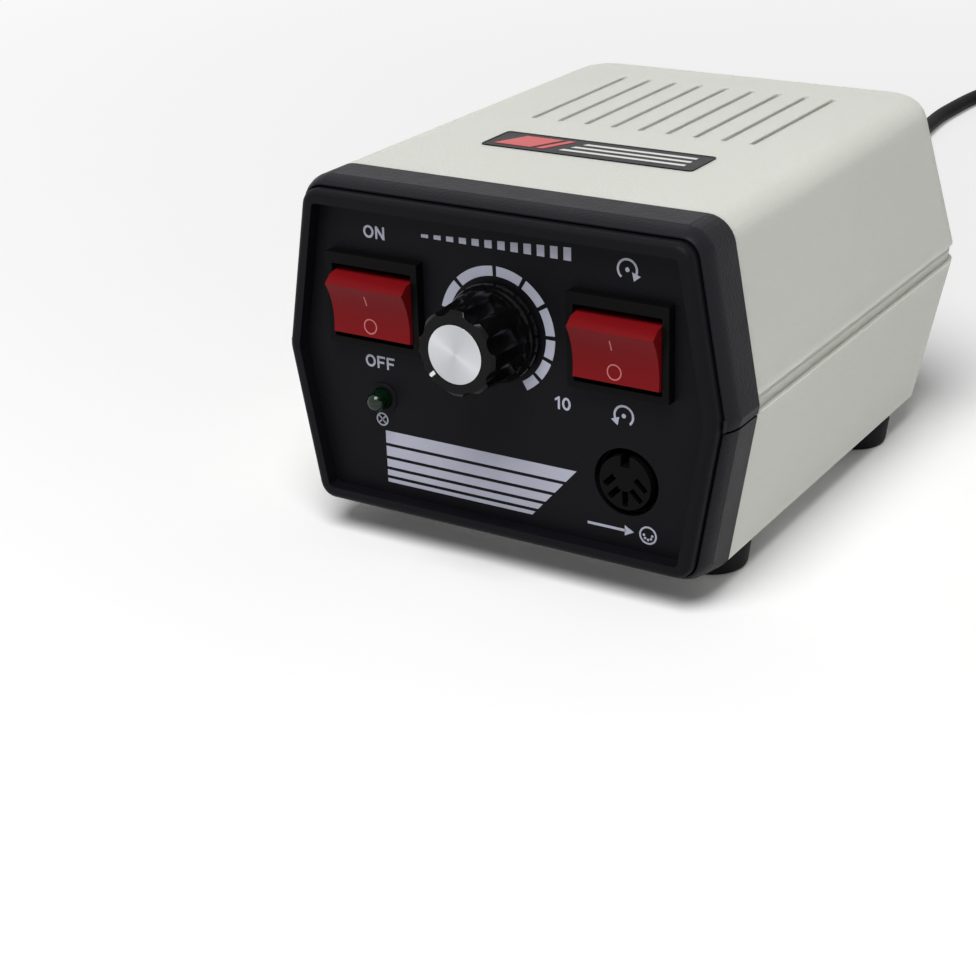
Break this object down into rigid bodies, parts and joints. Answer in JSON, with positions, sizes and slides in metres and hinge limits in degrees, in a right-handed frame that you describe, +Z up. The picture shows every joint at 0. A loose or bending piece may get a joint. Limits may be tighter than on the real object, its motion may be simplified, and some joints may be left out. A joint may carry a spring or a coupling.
{
  "type": "micromotor control unit",
  "caption": "Bench control unit of a dental micromotor: tapered two-tone case on rubber feet, rocker switches, speed knob, round output socket, fuse, mains outlet and coiled lead",
  "frame": {"origin": "on the floor under the middle of the unit's box, the mains lead left out", "axes": "+X to the right seen from the front, +Y from the front panel to the rear, +Z up"},
  "size_m": [0.125, 0.5038, 0.0844],
  "materials": {
    "case_pale": "fine texture",
    "bezel_black": "satin, fine texture",
    "panel_black": "satin",
    "rubber_black": "matte",
    "steel": "plain",
    "switch_black": "semi-gloss",
    "rocker_red": "semi-gloss",
    "knob_black": "satin",
    "aluminium": "turned",
    "brass": "plain",
    "lamp_green": "clear tinted",
    "fitting_black": "satin",
    "fuse_glass": "clear",
    "nickel": "plain",
    "core_steel": "varnished",
    "winding_tape": "taped",
    "board_green": "lacquered",
    "component_dark": "plain"
  },
  "bodies": {
    "case": {"upper_cover": "case_pale", "lower_base": "case_pale", "upper_bezel": "bezel_black", "lower_bezel": "bezel_black", "front_panel": "panel_black", "rear_panel": "panel_black", "rubber_feet": "rubber_black", "strain_relief": "rubber_black", "cord_lead": "rubber_black", "cord_coil": "rubber_black", "cord_tail": "rubber_black", "cord_tie": "rubber_black", "foot_screws": "steel", "case_screws": "steel", "transformer_screws": "steel", "board_screws": "steel", "heat_sink_screw": "steel", "output_socket_screws": "steel", "potentiometer_washer": "steel", "potentiometer_nut": "steel", "pilot_lamp_leads": "steel", "transformer_bracket": "steel", "power_switch_housing": "switch_black", "direction_switch_housing": "switch_black", "potentiometer_body": "aluminium", "heat_sink": "aluminium", "power_switch_terminals": "brass", "direction_switch_terminals": "brass", "potentiometer_terminals": "brass", "output_socket_contacts": "brass", "fuse_holder_terminals": "brass", "outlet_contacts": "brass", "plug_blades": "brass", "pilot_lamp_lens": "lamp_green", "pilot_lamp_holder": "fitting_black", "output_socket_shell": "fitting_black", "output_socket_insert": "fitting_black", "fuse_holder_body": "fitting_black", "fuse_holder_nut": "fitting_black", "outlet_body": "fitting_black", "cord_plug": "fitting_black", "transformer_core": "core_steel", "transformer_winding": "winding_tape", "circuit_board": "board_green", "filter_capacitor": "component_dark", "bridge_rectifier": "component_dark", "power_transistor": "component_dark"},
    "power_rocker": {"power_rocker": "rocker_red"},
    "direction_rocker": {"direction_rocker": "rocker_red"},
    "speed_knob": {"speed_knob": "knob_black", "knob_cap": "aluminium", "knob_grub_screw": "steel", "potentiometer_shaft": "steel"},
    "fuse_carrier": {"fuse_tube": "fuse_glass", "fuse_end_caps": "nickel"},
    "fuse_cap": {"fuse_cap": "fitting_black"}
  },
  "joints": [
    {"name": "power_rock", "type": "hinge", "parent": "case", "child": "power_rocker", "pos_m": [-0.0305, -0.05808, 0.0575], "axis": [-1, 0, 0], "range_deg": [0, 24]},
    {"name": "direction_rock", "type": "hinge", "parent": "case", "child": "direction_rocker", "pos_m": [0.0305, -0.05808, 0.0575], "axis": [-1, 0, 0], "range_deg": [0, 24]},
    {"name": "speed_turn", "type": "hinge", "parent": "case", "child": "speed_knob", "pos_m": [0, -0.06168, 0.056], "axis": [0, 1, 0], "range_deg": [0, 284]},
    {"name": "fuse_pull", "type": "slide", "parent": "case", "child": "fuse_carrier", "axis": [0, 1, 0], "range_m": [0, 0.032]},
    {"name": "fuse_cap_turn", "type": "hinge", "parent": "fuse_carrier", "child": "fuse_cap", "pos_m": [-0.0265, 0.06632, 0.0567], "axis": [0, 1, 0], "range_deg": [0, 45]}
  ]
}
